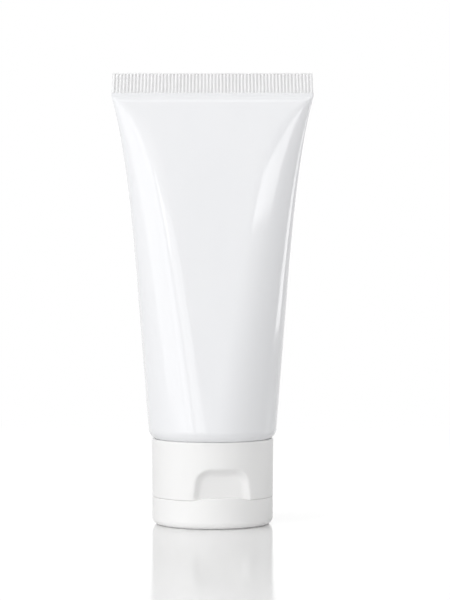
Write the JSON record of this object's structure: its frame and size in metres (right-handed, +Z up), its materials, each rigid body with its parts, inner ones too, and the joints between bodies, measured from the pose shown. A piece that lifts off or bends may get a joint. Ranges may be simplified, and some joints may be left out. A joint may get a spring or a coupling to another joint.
{
  "type": "cosmetic squeeze tube",
  "caption": "Squeeze tube for cream that stands on its flip-top cap, tapering from a round shoulder to a wide, flat, finely ribbed crimp.",
  "frame": {"origin": "centre of the footprint on the surface that the tube stands on", "axes": "+Z up from the cap to the crimp, +Y towards the back, +X to the viewer's right"},
  "size_m": [0.055, 0.035, 0.123],
  "materials": {
    "sleeve_film": "smooth gloss white film",
    "cap_plastic": "satin moulded white",
    "head_plastic": "moulded natural white",
    "cream": "soft off-white cream"
  },
  "bodies": {
    "cap": {"cap_body": "cap_plastic"},
    "lid": {"lid": "cap_plastic"},
    "tube": {"sleeve": "sleeve_film", "tube_head": "head_plastic", "cream": "cream"}
  },
  "joints": [
    {"name": "lid_hinge", "type": "hinge", "parent": "cap", "child": "lid", "pos_m": [-0.00296, 0.01679, 0.00773], "axis": [0.9848, 0.1736, 0], "range_deg": [0, 180]},
    {"name": "tube_lift", "type": "slide", "parent": "cap", "child": "tube", "axis": [0, 0, 1], "range_m": [0, 0.016]}
  ]
}
